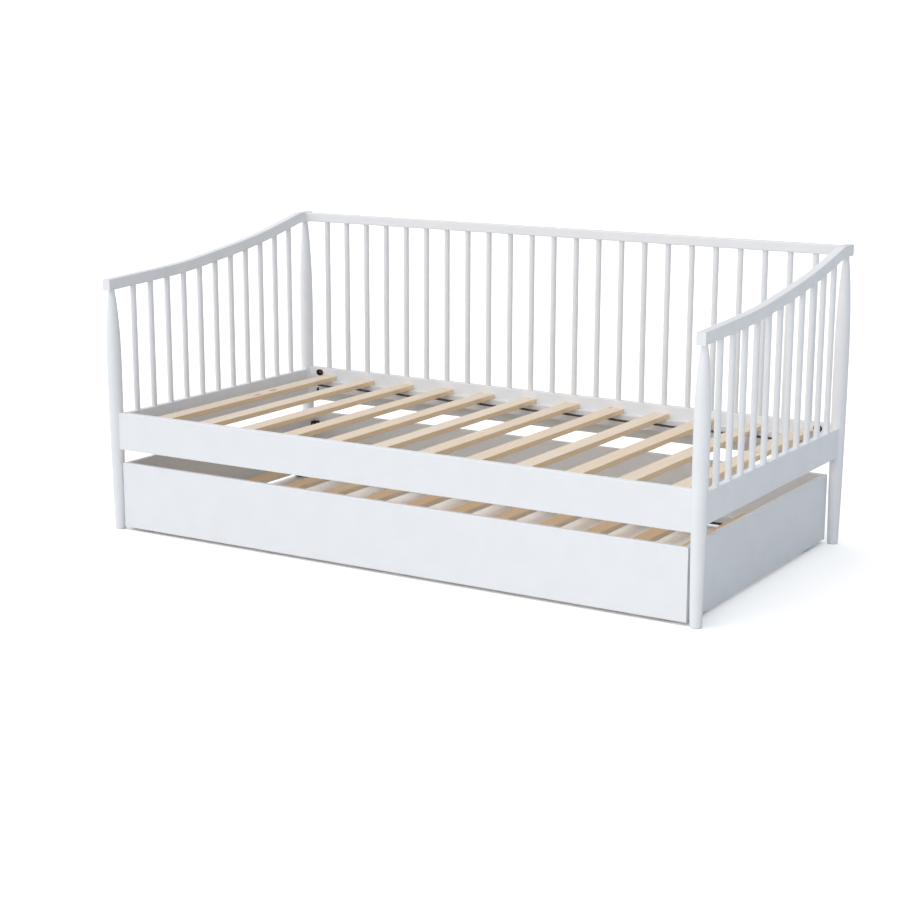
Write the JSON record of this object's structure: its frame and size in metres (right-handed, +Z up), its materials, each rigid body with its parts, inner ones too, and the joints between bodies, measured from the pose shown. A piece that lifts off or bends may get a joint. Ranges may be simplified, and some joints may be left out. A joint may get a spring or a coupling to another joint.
{
  "type": "trundle bed",
  "caption": "Daybed with turned posts, spindle back and sloping spindle arms, a slatted deck, and a low slatted trundle box that rolls out from beneath it.",
  "frame": {"origin": "on the floor, in the middle of the outline", "axes": "+X along the bed to the right arm, +Y from the open front to the spindle back, +Z up"},
  "size_m": [2.0404, 1.068, 0.924],
  "materials": {
    "white_paint": "satin white paint on solid wood",
    "slat_pine": "bare planed pine",
    "strap_webbing": "black woven webbing",
    "zinc_steel": "bright zinc plate",
    "black_steel": "black oxide",
    "brown_plastic": "moulded brown plastic",
    "dowel_beech": "fluted beech",
    "wheel_plastic": "moulded dark grey plastic"
  },
  "bodies": {
    "bed_frame": {"arm_rail_left": "white_paint", "arm_rail_right": "white_paint", "arm_spindles_left": "white_paint", "arm_spindles_right": "white_paint", "back_rail": "white_paint", "back_spindles": "white_paint", "back_top_rail": "white_paint", "bed_ledge_back": "white_paint", "bed_ledge_front": "white_paint", "bed_ledge_screws": "zinc_steel", "bed_slat_01": "slat_pine", "bed_slat_02": "slat_pine", "bed_slat_03": "slat_pine", "bed_slat_04": "slat_pine", "bed_slat_05": "slat_pine", "bed_slat_06": "slat_pine", "bed_slat_07": "slat_pine", "bed_slat_08": "slat_pine", "bed_slat_09": "slat_pine", "bed_slat_10": "slat_pine", "bed_slat_11": "slat_pine", "bed_slat_12": "slat_pine", "bed_slat_straps": "strap_webbing", "end_rail_left": "white_paint", "end_rail_right": "white_paint", "front_rail": "white_paint", "half_moon_nuts": "black_steel", "hanger_bolts": "zinc_steel", "post_back_left": "white_paint", "post_back_right": "white_paint", "post_front_left": "white_paint", "post_front_right": "white_paint"},
    "trundle": {"caster_axles": "zinc_steel", "caster_plates": "zinc_steel", "trundle_back_panel": "white_paint", "trundle_corner_brackets": "brown_plastic", "trundle_dowels": "dowel_beech", "trundle_front_panel": "white_paint", "trundle_ledge_back": "white_paint", "trundle_ledge_front": "white_paint", "trundle_left_panel": "white_paint", "trundle_right_panel": "white_paint", "trundle_screws": "zinc_steel", "trundle_slat_01": "slat_pine", "trundle_slat_02": "slat_pine", "trundle_slat_03": "slat_pine", "trundle_slat_04": "slat_pine", "trundle_slat_05": "slat_pine", "trundle_slat_06": "slat_pine", "trundle_slat_07": "slat_pine", "trundle_slat_08": "slat_pine", "trundle_slat_09": "slat_pine", "trundle_slat_10": "slat_pine", "trundle_slat_11": "slat_pine", "trundle_slat_12": "slat_pine", "trundle_slat_straps": "strap_webbing"},
    "wheel_back_left": {"wheel_back_left": "wheel_plastic"},
    "wheel_back_right": {"wheel_back_right": "wheel_plastic"},
    "wheel_front_left": {"wheel_front_left": "wheel_plastic"},
    "wheel_front_right": {"wheel_front_right": "wheel_plastic"}
  },
  "joints": [
    {"name": "trundle_slide", "type": "slide", "parent": "bed_frame", "child": "trundle", "axis": [0, -1, 0], "range_m": [0, 1.06]},
    {"name": "wheel_back_left_roll", "type": "hinge", "parent": "trundle", "child": "wheel_back_left", "pos_m": [-0.945, 0.38, 0.025], "axis": [1, 0, 0], "continuous": true},
    {"name": "wheel_back_right_roll", "type": "hinge", "parent": "trundle", "child": "wheel_back_right", "pos_m": [0.945, 0.38, 0.025], "axis": [1, 0, 0], "continuous": true},
    {"name": "wheel_front_left_roll", "type": "hinge", "parent": "trundle", "child": "wheel_front_left", "pos_m": [-0.945, -0.39, 0.025], "axis": [1, 0, 0], "continuous": true},
    {"name": "wheel_front_right_roll", "type": "hinge", "parent": "trundle", "child": "wheel_front_right", "pos_m": [0.945, -0.39, 0.025], "axis": [1, 0, 0], "continuous": true}
  ],
  "couplings": [
    {"joint": "wheel_back_left_roll", "follows": "trundle_slide", "rad_per_m": 40},
    {"joint": "wheel_back_right_roll", "follows": "trundle_slide", "rad_per_m": 40},
    {"joint": "wheel_front_left_roll", "follows": "trundle_slide", "rad_per_m": 40},
    {"joint": "wheel_front_right_roll", "follows": "trundle_slide", "rad_per_m": 40}
  ]
}
